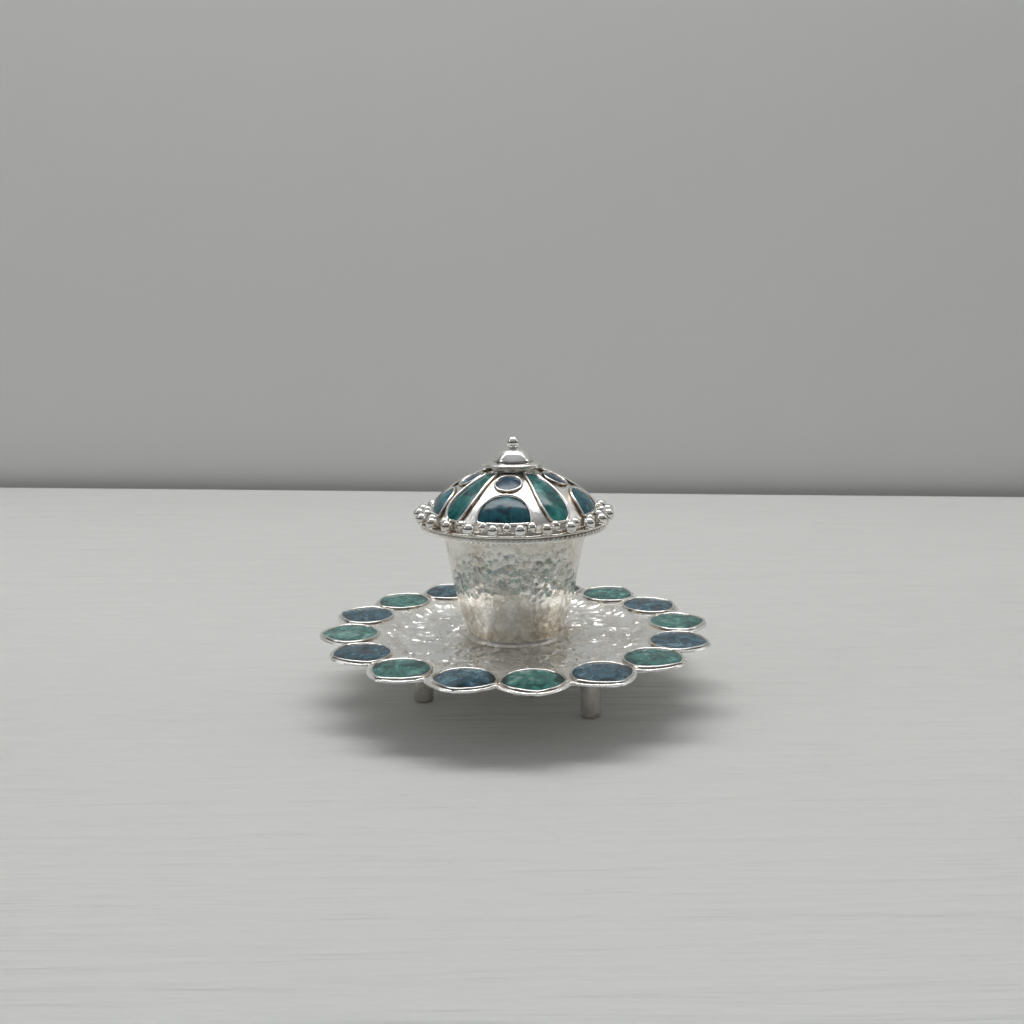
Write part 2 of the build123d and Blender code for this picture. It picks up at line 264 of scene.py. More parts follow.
def silver(name, low, high, tint_a, tint_b, fine=0.10, scratch=0.06, grain=2600.0, patch=260.0, metal=1.0, painted_shade_tint=None):
    """Polished silver: patchy roughness, faint warm tint, fine handling marks, and painted shade that darkens the
    colour where the shade attribute is high when a shade tint is given.
    """
    m, nt, b, tc = tree(name)
    b.inputs["Metallic"].default_value = metal
    patch_n = noise(nt, tc, patch, 5, 0.6, 0.6)
    r = ramp(nt, patch_n.outputs["Fac"], [(0.30, (low,) * 3), (0.72, (high,) * 3)])
    nt.links.new(r.outputs["Color"], b.inputs["Roughness"])
    tone = noise(nt, tc, patch * 0.6, 6, 0.65, 1.2)
    c = ramp(nt, tone.outputs["Fac"], [(0.30, tint_b), (0.56, tint_a)])
    if painted_shade_tint:
        # painted shade: the colour is darkened where the shade attribute is high, broken up by noise
        at = nt.nodes.new("ShaderNodeAttribute")
        at.attribute_name = "shade"
        cl = noise(nt, tc, 1500.0, 4, 0.6, 0.6)
        ma = nt.nodes.new("ShaderNodeMath")
        ma.operation = "MULTIPLY_ADD"
        nt.links.new(cl.outputs["Fac"], ma.inputs[0])
        ma.inputs[1].default_value = 0.7
        nt.links.new(at.outputs["Fac"], ma.inputs[2])
        st = ramp(nt, ma.outputs["Value"], [(0.45, (1, 1, 1)), (0.80, painted_shade_tint[0]), (1.0, painted_shade_tint[1])])
        mx = nt.nodes.new("ShaderNodeMix")
        mx.data_type = "RGBA"
        mx.blend_type = "MULTIPLY"
        mx.inputs["Factor"].default_value = 1.0
        nt.links.new(c.outputs["Color"], mx.inputs["A"])
        nt.links.new(st.outputs["Color"], mx.inputs["B"])
        nt.links.new(mx.outputs["Result"], b.inputs["Base Color"])
    else:
        nt.links.new(c.outputs["Color"], b.inputs["Base Color"])
    g1 = noise(nt, tc, grain, 3, 0.5)
    g2 = noise(nt, tc, 900.0, 4, 0.6, 0.0, (1.0, 1.0, 9.0))
    b1 = nt.nodes.new("ShaderNodeBump")
    b1.inputs["Strength"].default_value = fine
    b1.inputs["Distance"].default_value = 0.00006
    nt.links.new(g1.outputs["Fac"], b1.inputs["Height"])
    b2 = nt.nodes.new("ShaderNodeBump")
    b2.inputs["Strength"].default_value = scratch
    b2.inputs["Distance"].default_value = 0.00008
    nt.links.new(g2.outputs["Fac"], b2.inputs["Height"])
    nt.links.new(b1.outputs["Normal"], b2.inputs["Normal"])
    nt.links.new(b2.outputs["Normal"], b.inputs["Normal"])
    return m


def enamel(name, dark, mid, light, seed):
    """Fired glass enamel: soft clouds of colour, with painted shade along the walls and in the corners."""
    m, nt, b, tc = tree(name)
    base = noise(nt, tc, 310.0 + seed, 3, 0.50, 0.8)
    c1 = ramp(nt, base.outputs["Fac"], [(0.34, dark), (0.45, mid), (0.55, mid), (0.70, light)])
    streak = noise(nt, tc, 520.0 + 2 * seed, 3, 0.5, 1.0, (1.0, 0.6, 1.0))
    c2 = ramp(nt, streak.outputs["Fac"], [(0.36, (0.50, 0.50, 0.53)), (0.52, (1, 1, 1)), (0.70, (1.45, 1.45, 1.38))])
    mix = nt.nodes.new("ShaderNodeMix")
    mix.data_type = "RGBA"
    mix.blend_type = "MULTIPLY"
    mix.inputs["Factor"].default_value = 0.80
    nt.links.new(c1.outputs["Color"], mix.inputs["A"])
    nt.links.new(c2.outputs["Color"], mix.inputs["B"])
    # painted shade: dark rim and corners next to the walls, broken up by the clouds
    at = nt.nodes.new("ShaderNodeAttribute")
    at.attribute_name = "shade"
    cloud = noise(nt, tc, 420.0 + 2 * seed, 3, 0.5, 0.8)
    add = nt.nodes.new("ShaderNodeMath")
    add.operation = "MULTIPLY_ADD"
    nt.links.new(cloud.outputs["Fac"], add.inputs[0])
    add.inputs[1].default_value = 0.9
    nt.links.new(at.outputs["Fac"], add.inputs[2])
    c3 = ramp(nt, add.outputs["Value"], [(0.55, (1.12, 1.12, 1.10)), (0.85, (0.70, 0.72, 0.74)), (1.0, (0.16, 0.18, 0.20))])
    mix2 = nt.nodes.new("ShaderNodeMix")
    mix2.data_type = "RGBA"
    mix2.blend_type = "MULTIPLY"
    mix2.inputs["Factor"].default_value = 1.0
    nt.links.new(mix.outputs["Result"], mix2.inputs["A"])
    nt.links.new(c3.outputs["Color"], mix2.inputs["B"])
    nt.links.new(mix2.outputs["Result"], b.inputs["Base Color"])
    rr = ramp(nt, streak.outputs["Fac"], [(0.3, (0.16,) * 3), (0.75, (0.34,) * 3)])
    nt.links.new(rr.outputs["Color"], b.inputs["Roughness"])
    b.inputs["Specular IOR Level"].default_value = 0.38
    b.inputs["Coat Weight"].default_value = 0.12
    b.inputs["Coat Roughness"].default_value = 0.12
    bn = noise(nt, tc, 700.0, 4, 0.5, 0.4)
    bp = nt.nodes.new("ShaderNodeBump")
    bp.inputs["Strength"].default_value = 0.25
    bp.inputs["Distance"].default_value = 0.00010
    nt.links.new(bn.outputs["Fac"], bp.inputs["Height"])
    nt.links.new(bp.outputs["Normal"], b.inputs["Normal"])
    return m


WHITE_A, WHITE_B = (0.93, 0.92, 0.90), (0.84, 0.79, 0.72)
m_polish = silver("silver_polished_mat", 0.10, 0.22, WHITE_A, WHITE_B)
m_bead = silver("silver_bead_mat", 0.04, 0.10, (0.88, 0.865, 0.84), (0.70, 0.64, 0.56))
# wall, tray and cup: the last pair of colours is the painted shade tint
m_wall = silver("silver_wall_mat", 0.10, 0.22, (0.94, 0.93, 0.91), (0.86, 0.82, 0.76),
                painted_shade_tint=((0.52, 0.43, 0.34), (0.26, 0.19, 0.13)))
m_tray = silver("silver_tray_mat", 0.19, 0.34, (0.97, 0.965, 0.95), (0.88, 0.84, 0.78), fine=0.35, scratch=0.25, metal=0.80,
                painted_shade_tint=((0.72, 0.65, 0.56), (0.45, 0.38, 0.30)))
m_cup = silver("silver_cup_mat", 0.14, 0.30, (0.86, 0.84, 0.80), (0.66, 0.60, 0.51), fine=0.22, scratch=0.20,
               painted_shade_tint=((0.74, 0.69, 0.60), (0.27, 0.25, 0.23)))
m_lip = silver("silver_lip_mat", 0.12, 0.26, (0.84, 0.81, 0.76), (0.62, 0.55, 0.46), fine=0.20, scratch=0.16)
m_ground = silver("silver_ground_mat", 0.24, 0.40, (0.95, 0.94, 0.92), (0.88, 0.85, 0.80), fine=1.0, scratch=0.05, grain=2300.0)
m_feet = silver("silver_feet_mat", 0.22, 0.40, (0.74, 0.71, 0.66), (0.48, 0.43, 0.37), fine=0.30, scratch=0.45)
m_green = enamel("enamel_green_mat", (0.004, 0.058, 0.054), (0.042, 0.165, 0.150), (0.200, 0.370, 0.335), 11)
m_blue = enamel("enamel_blue_mat", (0.003, 0.014, 0.024), (0.030, 0.088, 0.128), (0.150, 0.250, 0.310), 37)
m_drop = enamel("enamel_drop_mat", (0.002, 0.050, 0.052), (0.006, 0.125, 0.125), (0.050, 0.250, 0.235), 23)
m_arch = enamel("enamel_arch_mat", (0.003, 0.032, 0.050), (0.008, 0.095, 0.130), (0.050, 0.200, 0.250), 53)
m_navy = enamel("enamel_navy_mat", (0.003, 0.016, 0.036), (0.016, 0.058, 0.105), (0.090, 0.170, 0.240), 71)

# ------------------------------------------------------------------ tray
def reach(az):
    """How much further out the tray reaches at an azimuth than at the front."""
    return OVAL * np.sin(np.radians(az)) ** 2


# each petal was laid out: small turns from its even place, in degrees
turn = rng.uniform(-0.5, 0.5, PETALS)
turn[[14, 15, 0, 1, 2]] = (-0.5, 0.7, 0.3, 1.2, 1.2)
tip_var = rng.uniform(-0.10, 0.10, PETALS)
lift_var = rng.uniform(-0.16, 0.16, PETALS)
point_var = rng.uniform(0.10, 0.30, PETALS)


def petal_coords(theta):
    """Petal number and offset from its middle, in degrees."""
    a = (np.degrees(theta) - PHASE + PITCH / 2) % 360.0
    k = np.floor(a / PITCH).astype(int) % PETALS
    return k, a - k * PITCH - PITCH / 2


def outline_r(theta):
    k, off = petal_coords(theta)
    # the tip sits a little aside with its petal, the notches stay
    t = off / (PITCH / 2)
    c = turn[k] / (PITCH / 2)
    a = np.where(t < c, (c - t) / (1 + c), (t - c) / (1 - c))
    w = point_var[k]
    g = w * a + (1 - w) * a ** 2.0
    tip = TIP_R + np.minimum(tip_var[k], 0.0)
    return tip - (tip - NOTCH_R) * g + reach(np.degrees(theta))


def lift(theta, R):
    """Small differences in how high each petal was bent."""
    a = ((np.degrees(theta) - PHASE) / PITCH) % PETALS
    k = np.floor(a).astype(int)
    t = a - k
    t = t * t * (3 - 2 * t)
    amount = lift_var[k % PETALS] * (1 - t) + lift_var[(k + 1) % PETALS] * t
    return amount * smooth(19.0, 29.5, R) + 0.12 * smooth(22.0, 29.5, R)


def tray_top(x, y):
    R = np.hypot(x, y)
    theta = np.arctan2(x, -y)
    edge = outline_r(theta) - R
    z = FLOOR_TOP + (PETAL_TOP - FLOOR_TOP) * smooth(FLOOR_R - 0.3, STEP_R + 0.2, R)
    # hammer marks on the floor, broad planishing over them
    d1, d2 = dents(x / 1.05 + 60, y / 1.05 + 60, 3)
    e1, _ = dents(x / 0.50 + 90, y / 0.50 + 90, 5)
    amp = 1 - 0.80 * smooth(18.8, 20.4, R)
    z = z + amp * (0.115 * np.minimum(d1, 0.55) + 0.030 * np.minimum(e1, 0.5) - 0.045)
    # crumpled creases of the beaten sheet
    q = value_noise(x / 1.9 + 33, y / 1.9 + 21, 19) + 0.5 * value_noise(x / 0.9 + 13, y / 0.9 + 61, 20)
    z = z + amp * 0.21 * (1 - np.minimum(np.abs(q) * 2.2, 1.0)) ** 2
    z = z + amp * 0.08 * value_noise(x / 3.1 + 40, y / 3.1 + 40, 17)
    # a worked edge: low bead along the outline, rolled over at the very rim
    z = z + 0.12 * np.exp(-((edge - 0.34) / 0.22) ** 2)
    z = z - 0.16 * (1 - smooth(0.0, 0.20, edge)) ** 2
    # the shoulder between two petals is pressed up against their walls
    k, off = petal_coords(theta)
    z = z + 0.14 * smooth(0.80, 1.0, np.abs(off) / (PITCH / 2)) * smooth(24.2, 25.6, R)
    return z + lift(theta, R)


COLS = PETALS * 44
th = np.arange(COLS) * TAU / COLS + math.radians(PHASE)
ro = outline_r(th)
s = np.concatenate([np.linspace(0.02, 0.60, 88), np.linspace(0.60, 0.93, 66)[1:],
                    1 - (1 - np.linspace(0, 1, 16)[1:]) ** 1.5 * 0.07])
top_r = s[:, None] * ro[None, :]
tx, ty = top_r * np.sin(th), -top_r * np.cos(th)
tz = tray_top(tx, ty)
sb = np.concatenate([[0.998], np.linspace(0.985, 0.02, 46)])
bot_r = sb[:, None] * ro[None, :]
bx, by = bot_r * np.sin(th), -bot_r * np.cos(th)
bR = bot_r
bz = (FLOOR_TOP - SHEET_T + (PETAL_TOP - FLOOR_TOP) * smooth(FLOOR_R - 0.2, STEP_R + 0.3, bR)
      + lift(np.repeat(th[None, :], len(sb), 0), bR)
      + 0.05 * value_noise(bx / 1.6 + 30, by / 1.6 + 30, 23))
bz += 0.22 * smooth(0.93, 0.985, sb)[:, None]
v = np.concatenate([np.stack([tx, ty, tz], -1).reshape(-1, 3), np.stack([bx, by, bz], -1).reshape(-1, 3)])
f = grid_faces(len(s) + len(sb), COLS).tolist()
n = len(v)
v = np.vstack([v, [[0, 0, float(tray_top(np.zeros(1), np.zeros(1))[0])], [0, 0, FLOOR_TOP - SHEET_T]]])
last = (len(s) + len(sb) - 1) * COLS
for j in range(COLS):
    j2 = (j + 1) % COLS
    f.append([n, j2, j])
    f.append([n + 1, last + j, last + j2])
vr = np.hypot(v[:, 0], v[:, 1])
# painted shade: darker under the cup's flare and along the step near R 19, with random patches
tray_shade = (0.36 * (1 - smooth(7.6, 11.5, vr)) - 0.10 + 0.10 * value_noise(v[:, 0] / 2.3 + 60, v[:, 1] / 2.3 + 60, 29)
              + 0.22 * np.exp(-((vr - 19.0) / 1.0) ** 2))
tray = build("tray", v, [q[::-1] for q in f], "base", m_tray, ["tray_plate"], 60, tray_shade)


def arc3(a, b, c, count):
    """Points on the circle from a through b to c."""
    a, b, c = (np.asarray(p, float) for p in (a, b, c))
    d = 2 * (a[0] * (b[1] - c[1]) + b[0] * (c[1] - a[1]) + c[0] * (a[1] - b[1]))
    ux = ((a @ a) * (b[1] - c[1]) + (b @ b) * (c[1] - a[1]) + (c @ c) * (a[1] - b[1])) / d
    uy = ((a @ a) * (c[0] - b[0]) + (b @ b) * (a[0] - c[0]) + (c @ c) * (b[0] - a[0])) / d
    o = np.array([ux, uy])
    ang = [math.atan2(*(p - o)[::-1]) for p in (a, b, c)]
    r = np.linalg.norm(a - o)
    span = (ang[2] - ang[0]) % TAU
    mid = (ang[1] - ang[0]) % TAU
    if mid > span:
        span -= TAU
    t = ang[0] + np.linspace(0, 1, count) * span
    return o + r * np.stack([np.cos(t), np.sin(t)], 1)


def petal_cell(g):
    """Outline of a petal's enamel in (across, outwards), grown by g, with matching points for every g."""
    w, ri, ro_ = CELL_W + g * 1.35, CELL_IN - g, CELL_OUT + g
    L, R_, I, O = (-w, CORNER_R), (w, CORNER_R), (0, ri), (0, ro_)
    my = CORNER_R + (ro_ - CORNER_R) * 0.70
    a = arc3(L, I, R_, 40)[:-1]
    b = arc3(R_, (w * 0.52, my), O, 22)[:-1]
    c = arc3(O, (-w * 0.52, my), L, 22)[:-1]
    return np.concatenate([a, b, c])


def place(px, py, az):
    """Plan point (across, outwards) turned to an azimuth in degrees."""
    t = math.radians(az)
    return px * math.cos(t) + py * math.sin(t), px * math.sin(t) - py * math.cos(t)


walls, greens, blues = Parts(), Parts(), Parts()
N_CELL = len(petal_cell(0))
for k in range(PETALS):
    az = PHASE + k * PITCH + turn[k]
    out_by = float(reach(PHASE + k * PITCH))
    wob = rng.uniform(-0.05, 0.05, 4)
    grow_in, grow_out = -0.02 + wob[0] * 0.4, 0.44 + wob[1]
    rings = []
    for u in np.linspace(0, 1, 9):
        g = grow_in + (grow_out - grow_in) * u
        P = petal_cell(g)
        X, Y = place(P[:, 0], P[:, 1] + out_by, az)
        h = 0.42 * math.sqrt(max(0.0, 1 - (2 * u - 1) ** 2)) ** 0.85
        zed = PETAL_TOP + lift(np.arctan2(X, -Y), np.hypot(X, Y)) + (h if 0 < u < 1 else -0.10)
        zed = zed + 0.025 * value_noise(X / 0.8 + 50, Y / 0.8 + 50, 31)
        rings.append(np.stack([X, Y, zed], 1))
    # painted shade at both feet of the wall, carried in the shade values
    walls.add(np.concatenate(rings), grid_faces(9, N_CELL, wrap_rows=True, flip=True).tolist(),
              np.repeat((0.5, 0.2, 0, 0, 0, 0, 0, 0.15, 0.45), N_CELL))
    # enamel: shallow pillow between the walls
    P0 = petal_cell(0.03)
    cen = np.array([0.0, 24.3])
    rings, RN, dark = [], 12, []
    for i in range(1, RN + 1):
        q = i / RN
        side = np.abs(P0[:, 0]) / CELL_W * q
        # painted shade: darker at the rim and in the two side corners of the cell
        dark.append(0.30 * q ** 5 + 0.42 * np.clip((side - 0.55) / 0.45, 0, 1) ** 1.5)
        P = cen + (P0 - cen) * q
        X, Y = place(P[:, 0], P[:, 1] + out_by, az)
        zed = PETAL_TOP + lift(np.arctan2(X, -Y), np.hypot(X, Y)) + 0.27 + 0.12 * (1 - q ** 2.2)
        zed = zed + 0.03 * value_noise(X / 1.3 + 20, Y / 1.3 + 20, 41)
        rings.append(np.stack([X, Y, zed], 1))
    low = rings[-1].copy()
    low[:, 2] = PETAL_TOP + lift(np.arctan2(low[:, 0], -low[:, 1]), np.hypot(low[:, 0], low[:, 1])) - 0.08
    rings.append(low)
    vv = np.concatenate(rings)
    ff = grid_faces(len(rings), N_CELL, flip=True).tolist()
    X, Y = place(cen[0], cen[1] + out_by, az)
    zt = float(rings[0][:, 2].mean()) + 0.003
    nn = len(vv)
    vv = np.vstack([vv, [[X, Y, zt], [X, Y, float(low[:, 2].mean())]]])
    dark = np.concatenate(dark + [dark[-1], np.zeros(2)])
    lastr = (len(rings) - 1) * N_CELL
    for j in range(N_CELL):
        j2 = (j + 1) % N_CELL
        ff.append([nn, j, j2])
        ff.append([nn + 1, lastr + j2, lastr + j])
    (greens if k % 2 == 0 else blues).add(vv, ff, dark)
build("petal_walls", walls.verts(), walls.f, "base", m_wall, ["petal_cell_walls"], 60, walls.shade())
build("petal_green", greens.verts(), greens.f, "base", m_green, ["petal_enamel_green"], 60, greens.shade())
build("petal_blue", blues.verts(), blues.f, "base", m_blue, ["petal_enamel_blue"], 60, blues.shade())

# ------------------------------------------------------------------ feet
for nm, foot_r, az in (("foot_front_right", 15.2, 45.0), ("foot_front_left", 14.5, -75.9), ("foot_rear", 14.9, 163.7)):
    prof = [(0, 0.0), (1.05, 0.0), (1.30, 0.03), (1.44, 0.12), (1.49, 0.30), (1.50, 0.6)]
    prof += [(1.50 - 0.015 * (i % 2), 0.9 + i * 0.35) for i in range(20)]
    prof += [(1.50, 8.10), (1.56, 8.40), (1.80, 8.68), (2.05, 8.83), (0, 8.90)]
    v, f = solid_lathe(prof, 64)
    t = math.radians(az)
    v[:, 0] += foot_r * math.sin(t)
    v[:, 1] -= foot_r * math.cos(t)
    build(nm + "_post", v, f, "base", m_feet, [nm], 50)

# ------------------------------------------------------------------ cup
outer = resample(catmull(CUP, 16), 150)
inner_line = [(0.01, 9.90), (4.0, 9.90), (6.0, 9.93), (6.62, 10.15)] + [(r - 0.52, z) for r, z in CUP[1:]]
inner = resample(catmull(inner_line, 12), 90)[::-1]
base_line = [(0.01, 9.32), (3.5, 9.32), (6.6, 9.32)]
prof = np.concatenate([np.array(base_line), outer, inner])
N_OUT0, N_OUT1 = len(base_line), len(base_line) + len(outer)


def cup_wobble(R, Z, T):
    cols = R.shape[1]
    cell = 0.80
    around = int(round(TAU * 9.4 / cell))
    u = T / TAU * around
    w = Z / (cell * 1.5)
    d1, d2 = dents(u, w + 60, 8, period=around)
    around2 = int(round(TAU * 9.4 / 0.45))
    e1, _ = dents(T / TAU * around2, Z / 0.45 + 20, 9, period=around2)
    low = 1 - smooth(12.0, 17.5, Z)
    mark = (0.105 - 0.045 * low) * np.minimum(d1, 0.6) + 0.022 * np.minimum(e1, 0.5) - 0.045
    around3 = int(round(TAU * 9.4 / 3.6))
    mark = mark + 0.05 * value_noise(T / TAU * around3, Z / 2.6 + 10, 12, period=around3)
    around4 = int(round(TAU * 9.4 / 1.3))
    mark = mark + 0.06 * low * value_noise(T / TAU * around4 + 0.3 * np.sin(Z), Z / 2.2 + 30, 15, period=around4)
    fade = smooth(9.6, 11.0, Z) * (1 - smooth(25.2, 26.0, Z))
    on = np.zeros_like(R)
    on[N_OUT0:N_OUT1] = 1
    R = R + on * fade * mark
    inn = np.zeros_like(R)
    inn[N_OUT1:] = 1
    R = R + inn * 0.02 * value_noise(T / TAU * around3, Z / 1.1 + 10, 14, period=around3) * smooth(0.5, 2.0, R)
    return R, Z


v, f = lathe(prof, 600, cup_wobble)
# painted shade: darker towards the bottom and just under the lip, with random patches
cup_shade = (0.40 * (1 - smooth(11.5, 18.5, v[:, 2])) + 0.16 * smooth(23.0, 25.5, v[:, 2])
             + 0.14 * value_noise(np.arctan2(v[:, 0], -v[:, 1]) / TAU * 26 + 26, v[:, 2] / 1.6, 88, period=26))
# painted reflection: the bottoms of the struck marks of the upper half are darkened as dark reflections
rad = np.hypot(v[:, 0], v[:, 1]).reshape(len(prof), -1)
local = sum(np.roll(rad, k, axis=1) for k in range(-12, 13)) / 25
pit = np.clip((local - rad - 0.006) / 0.022, 0, 1).ravel()
patch = value_noise(np.arctan2(v[:, 0], -v[:, 1]) / TAU * 17 + 17, v[:, 2] / 2.6 + 4, 93, period=17)
pit = pit * np.clip(0.75 + 0.6 * patch, 0, 1)
cup_shade = cup_shade + 0.60 * pit * smooth(16.5, 19.0, v[:, 2]) * (1 - smooth(23.5, 25.0, v[:, 2]))
cup = build("cup", v, f, "base", m_cup, ["cup_body"], 60, cup_shade)


def band_noise(amp, cell, seed, radius):
    around = int(round(TAU * radius / cell))

    def wob(R, Z, T):
        k = value_noise(T / TAU * around, Z / cell + 7, seed, period=around)
        d, _ = dents(T / TAU * around, Z / cell + 30, seed + 1, period=around)
        return R + amp * k, Z + amp * (np.minimum(d, 0.6) - 0.3)
    return wob


seam = round_corners([(6.85, 9.32), (7.70, 9.30), (7.34, 9.62), (7.22, 10.10), (7.00, 10.10)], [0, .12, .2, .1, 0], 4)
v, f = lathe(seam, 300, band_noise(0.05, 0.8, 51, 7.3))
build("cup_seam", v, f, "base", m_feet, ["cup_solder_seam"], 60)

lip = round_corners([(10.78, 25.62), (11.15, 25.56), (12.15, 25.78), (13.30, 26.22), (13.34, 26.96), (10.93, 26.99)],
                    [0, .2, .25, .18, .12, 0.05], 5)
lip = resample(lip, 70, closed=True)
v, f = lathe(lip, 420, band_noise(0.045, 0.9, 61, 12.5))
build("cup_lip", v, f, "base", m_lip, ["cup_lip_band"], 60)

# twisted wire round the lip: two strands
rope = Parts()
TURNS, RING, HEL, STRAND = 58, 13.72, 0.200, 0.225
steps = TURNS * 12
for side in (0, 1):
    t = np.arange(steps) * TAU / steps
    a = t * TURNS + side * math.pi
    Rr = RING + HEL * np.cos(a)
    Zz = 26.56 + HEL * np.sin(a)
    P = np.stack([Rr * np.sin(t), -Rr * np.cos(t), Zz], 1)
    tan = np.roll(P, -1, 0) - np.roll(P, 1, 0)
    tan /= np.linalg.norm(tan, axis=1)[:, None]
    rad = np.stack([np.sin(t), -np.cos(t), 0 * t], 1)
    nrm = rad - tan * (rad * tan).sum(1)[:, None]
    nrm /= np.linalg.norm(nrm, axis=1)[:, None]
    bi = np.cross(tan, nrm)
    q = np.arange(10) * TAU / 10
    V = P[:, None] + STRAND * (np.cos(q)[None, :, None] * nrm[:, None] + np.sin(q)[None, :, None] * bi[:, None])
    rope.add(V.reshape(-1, 3), grid_faces(steps, 10, wrap_rows=True).tolist())
build("cup_rope", rope.verts(), rope.f, "base", m_polish, ["cup_rope_wire"], 80)

# ------------------------------------------------------------------ lid shell
dome_curve = catmull(DOME, 16)
dome_s = resample(dome_curve, 240)


def dome_z(r):
    return np.interp(r, dome_s[::-1, 0], dome_s[::-1, 1])


def dome_frame(x, y):
    """Surface point, normal on the dome above plan points (x, -y outwards)."""
    r = np.hypot(x, y)
    z = dome_z(r)
    e = 0.04
    dz = (dome_z(r + e) - dome_z(r - e)) / (2 * e)
    nl = 1 / np.sqrt(1 + dz ** 2)
    er = np.stack([x / r, y / r, 0 * r], 1)
    nrm = er * (-dz * nl)[:, None] + np.array([0, 0, 1.0]) * nl[:, None]
    return np.stack([x, y, z], 1), nrm


out_line = resample(dome_curve, 110)
tang = np.gradient(out_line, axis=0)
tang /= np.linalg.norm(tang, axis=1)[:, None]
in_line = out_line + np.stack([-tang[:, 1], tang[:, 0]], 1) * 0.5
in_line[0] = (11.90, 27.05)
prof = np.concatenate([out_line, [(0.62, 34.45), (0.62, in_line[-1, 1])], in_line[::-1]])


def dome_wobble(R, Z, T):
    n_out = len(out_line)
    around = int(round(TAU * 8 / 0.62))
    d, _ = dents(T / TAU * around, Z / 0.45 + 40, 71, period=around)
    around2 = int(round(TAU * 8 / 2.4))
    k = value_noise(T / TAU * around2, Z / 1.6 + 5, 72, period=around2)
    on = np.zeros_like(R)
    on[:n_out] = 1
    fade = smooth(3.4, 4.6, R) * smooth(28.2, 28.9, Z)
    dd = on * fade * (0.035 * (np.minimum(d, 0.6) - 0.3) + 0.03 * k)
    return R + dd * 0.6, Z + dd * 0.8


v, f = lathe(prof, 420, dome_wobble)
build("lid_shell", v, f, "lid", m_ground, ["lid_dome"], 50)

fl = round_corners([(12.30, 27.06), (14.34, 27.06), (14.34, 27.45), (13.45, 27.45), (13.45, 27.75), (12.36, 27.75)],
                   [0, .18, .18, .05, .10, .05], 5)
fl = resample(fl, 80, closed=True)
v, f = lathe(fl, 360, band_noise(0.02, 1.3, 81, 14))
build("lid_ledge", v, f, "lid", m_lip, ["lid_flange"], 60)

col = round_corners([(9.45, 24.70), (9.95, 24.70), (9.95, 27.06), (11.84, 27.06), (11.80, 27.48), (9.45, 27.48)],
                    [.2, .2, .05, .05, .05, .15], 5)
v, f = lathe(resample(col, 60, closed=True), 240)
build("lid_inner_collar", v, f, "lid", m_feet, ["lid_collar"], 60)


# beads: each a hand-laid ball, a little out of round, with a puddle of solder under it
def bead_shell(cx, cy, zc, r, seat, rng_):
    nu, nv = 22, 13
    u = np.arange(nu) * TAU / nu
    w = np.linspace(0, math.pi, nv + 2)[1:-1]
    sq = rng_.uniform(0.97, 1.03, 3)
    U, W = np.meshgrid(u, w)
    x, y, z = r * np.sin(W) * np.cos(U) * sq[0], r * np.sin(W) * np.sin(U) * sq[1], r * np.cos(W) * sq[2]
    skirt = smooth(0.45 * r, 0.95 * r, -z)
    x, y = x * (1 + 0.22 * skirt), y * (1 + 0.22 * skirt)
    vv = np.stack([cx + x, cy + y, np.maximum(zc + z, seat - 0.03)], -1).reshape(-1, 3)
    ff = grid_faces(nv, nu, flip=True).tolist()
    nn = len(vv)
    vv = np.vstack([vv, [[cx, cy, zc + r * sq[2]], [cx, cy, seat - 0.03]]])
    for j in range(nu):
        j2 = (j + 1) % nu
        ff.append([nn, j, j2])
        ff.append([nn + 1, (nv - 1) * nu + j2, (nv - 1) * nu + j])
    return vv, ff


for label, ring, rad, seat, phase, node in (("beads_outer", 14.20, 0.88, 27.45, 3.0, "lid_beads_outer"),
                                            ("beads_inner", 13.10, 0.76, 27.75, 10.5, "lid_beads_inner")):
    P = Parts()
    br = np.random.default_rng(len(label) * 13 + 5)
    for i in range(24):
        t = math.radians(phase + 15 * i + br.uniform(-0.6, 0.6))
        rr = ring + br.uniform(-0.05, 0.05)
        rad_i = rad * br.uniform(0.95, 1.0)
        vv, ff = bead_shell(rr * math.sin(t), -rr * math.cos(t), seat + rad_i - 0.10, rad_i, seat, br)
        P.add(vv, ff)
    build(label, P.verts(), P.f, "lid", m_bead, [node], 80)


# ------------------------------------------------------------------ lid cells
def arc_row(r, half_w, count):
    """Points along a circle about the lid's axis, from right to left."""
    span = math.asin(half_w / r)
    return [(r * math.sin(span * (1 - 2 * i / (count - 1))), r * math.cos(span * (1 - 2 * i / (count - 1)))) for i in range(count)]


def drop_outline():
    side = [(0.62, 4.30), (0.80, 5.2), (1.03, 6.3), (1.38, 7.7), (1.70, 9.0), (1.83, 10.2), (1.76, 11.0), (1.48, 11.6)]
    row = arc_row(12.00, 1.00, 9)
    right = catmull([(0.0, 4.15)] + side + [row[0]], 10)
    left = right[::-1] * np.array([-1, 1])
    return np.concatenate([right[:-1], np.array(row), left[1:-1]])


def arch_outline():
    half = [(0.0, 8.98), (1.45, 9.20), (2.45, 9.72), (3.14, 10.35), (3.52, 11.0)]
    row = arc_row(11.98, 3.62, 17)
    right = catmull(half + [row[0]], 10)
    left = right[::-1] * np.array([-1, 1])
    return np.concatenate([right[:-1], np.array(row), left[1:-1]])


def round_outline():
    t = np.arange(96) * TAU / 96
    return np.stack([1.70 * np.cos(t), 6.30 - 1.50 * np.sin(t)], 1)


def ccw(p):
    x, y = p[:, 0], p[:, 1]
    a = (np.roll(x, 1) * y - x * np.roll(y, 1)).sum()
    return p if a > 0 else p[::-1]


